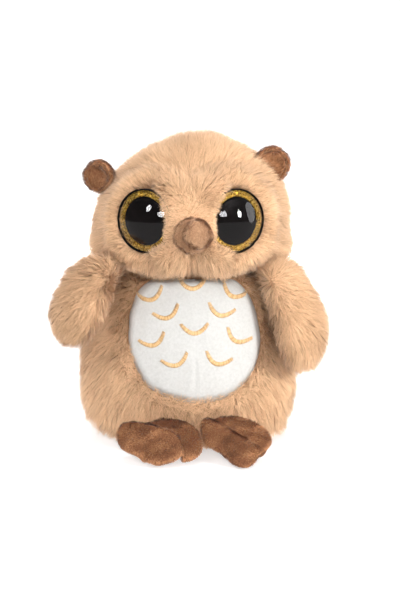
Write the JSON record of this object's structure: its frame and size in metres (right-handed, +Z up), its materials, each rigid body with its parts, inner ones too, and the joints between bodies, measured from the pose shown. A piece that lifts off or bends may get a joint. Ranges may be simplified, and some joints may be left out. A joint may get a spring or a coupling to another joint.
{
  "type": "interactive plush owl",
  "caption": "Small seated plush owl with long tan fur, glitter-ringed domed eyes, stuffed wings and velour feet, and a squeeze-to-hoot sound module behind a battery door in its back.",
  "frame": {"origin": "on the ground, at the middle of the body's flat underside and on the neck's axis", "axes": "+Z up, the face looks along -Y, the owl's own left wing is at +X"},
  "size_m": [0.1305, 0.1174, 0.1465],
  "materials": {
    "tan_fur": "long soft pile",
    "white_minky": "short soft pile with gold embroidery",
    "brown_velour": "short pile",
    "light_brown_velour": "short pile",
    "polyester_filling": "loose fibre",
    "pellet_cloth": "woven",
    "black_plastic": "gloss",
    "clear_dome": "clear, polished",
    "gold_glitter": "metallic flakes",
    "grey_plastic": "fine texture",
    "white_plastic": "smooth",
    "circuit_green": "solder resist",
    "cell_jacket": "printed sleeve, blank",
    "speaker_paper": "matte",
    "red_wire": "insulation",
    "black_wire": "insulation",
    "steel": "bright"
  },
  "bodies": {
    "body": {"battery_1": "cell_jacket", "battery_2": "cell_jacket", "battery_plate_1": "steel", "battery_plate_2": "steel", "battery_spring_1": "steel", "battery_spring_2": "steel", "body_cover": "tan_fur", "body_stuffing": "polyester_filling", "case_screw_1": "steel", "case_screw_2": "steel", "circuit_board": "circuit_green", "microphone": "steel", "module_front_shell": "grey_plastic", "module_rear_shell": "grey_plastic", "pellet_bag": "pellet_cloth", "power_switch_body": "steel", "sound_chip": "black_plastic", "speaker_basket": "steel", "speaker_cone": "speaker_paper", "speaker_magnet": "steel", "speaker_wire_black": "black_wire", "speaker_wire_red": "red_wire", "squeeze_switch_base": "white_plastic", "squeeze_switch_contact": "grey_plastic", "switch_wire_black": "black_wire", "switch_wire_red": "red_wire", "tummy_panel": "white_minky"},
    "head": {"beak": "light_brown_velour", "ear_left_cup": "brown_velour", "ear_left_lining": "brown_velour", "ear_right_cup": "brown_velour", "ear_right_lining": "brown_velour", "eye_left_cup": "black_plastic", "eye_left_dome": "clear_dome", "eye_left_glitter_ring": "gold_glitter", "eye_left_pupil": "black_plastic", "eye_left_washer": "white_plastic", "eye_right_cup": "black_plastic", "eye_right_dome": "clear_dome", "eye_right_glitter_ring": "gold_glitter", "eye_right_pupil": "black_plastic", "eye_right_washer": "white_plastic", "head_cover": "tan_fur", "head_stuffing": "polyester_filling"},
    "wing_left": {"wing_left_cover": "tan_fur", "wing_left_stuffing": "polyester_filling"},
    "wing_right": {"wing_right_cover": "tan_fur", "wing_right_stuffing": "polyester_filling"},
    "foot_left": {"foot_left_padding": "polyester_filling", "foot_left_sole": "brown_velour", "foot_left_upper": "brown_velour"},
    "foot_right": {"foot_right_padding": "polyester_filling", "foot_right_sole": "brown_velour", "foot_right_upper": "brown_velour"},
    "squeeze_cap": {"squeeze_switch_cap": "white_plastic"},
    "battery_door": {"battery_door": "grey_plastic"},
    "door_screw": {"door_screw": "steel"},
    "power_knob": {"power_switch_knob": "white_plastic"}
  },
  "joints": [
    {"name": "neck_turn", "type": "hinge", "parent": "body", "child": "head", "pos_m": [0, 0, 0.084], "axis": [0, 0, 1], "range_deg": [-18, 18], "stiffness_Nm_per_rad": 0.08},
    {"name": "wing_left_lift", "type": "hinge", "parent": "body", "child": "wing_left", "pos_m": [0.038, -0.017, 0.084], "axis": [-0.5592, -0.829, 0], "range_deg": [0, 40], "stiffness_Nm_per_rad": 0.03},
    {"name": "wing_right_lift", "type": "hinge", "parent": "body", "child": "wing_right", "pos_m": [-0.038, -0.017, 0.084], "axis": [-0.6762, 0.7057, -0.2115], "range_deg": [0, 25], "stiffness_Nm_per_rad": 0.03},
    {"name": "foot_left_flop", "type": "hinge", "parent": "body", "child": "foot_left", "pos_m": [0.0206, -0.0434, 0.0124], "axis": [-0.9272, -0.3746, 0], "range_deg": [0, 25], "stiffness_Nm_per_rad": 0.02},
    {"name": "foot_right_flop", "type": "hinge", "parent": "body", "child": "foot_right", "pos_m": [-0.0156, -0.0434, 0.0124], "axis": [-0.9903, 0.1392, 0], "range_deg": [0, 25], "stiffness_Nm_per_rad": 0.02},
    {"name": "tummy_squeeze", "type": "slide", "parent": "body", "child": "squeeze_cap", "axis": [0, 0.9848, -0.1736], "range_m": [0, 0.0016], "stiffness_N_per_m": 900},
    {"name": "battery_door_swing", "type": "hinge", "parent": "body", "child": "battery_door", "pos_m": [0, 0.03902, 0.01762], "axis": [-1, 0, 0], "range_deg": [0, 100]},
    {"name": "door_screw_turn", "type": "hinge", "parent": "battery_door", "child": "door_screw", "pos_m": [0.011, 0.03281, 0.05683], "axis": [0, 0.9877, 0.1564], "continuous": true},
    {"name": "power_switch_slide", "type": "slide", "parent": "body", "child": "power_knob", "axis": [0, -0.1564, 0.9877], "range_m": [0, 0.004]}
  ]
}
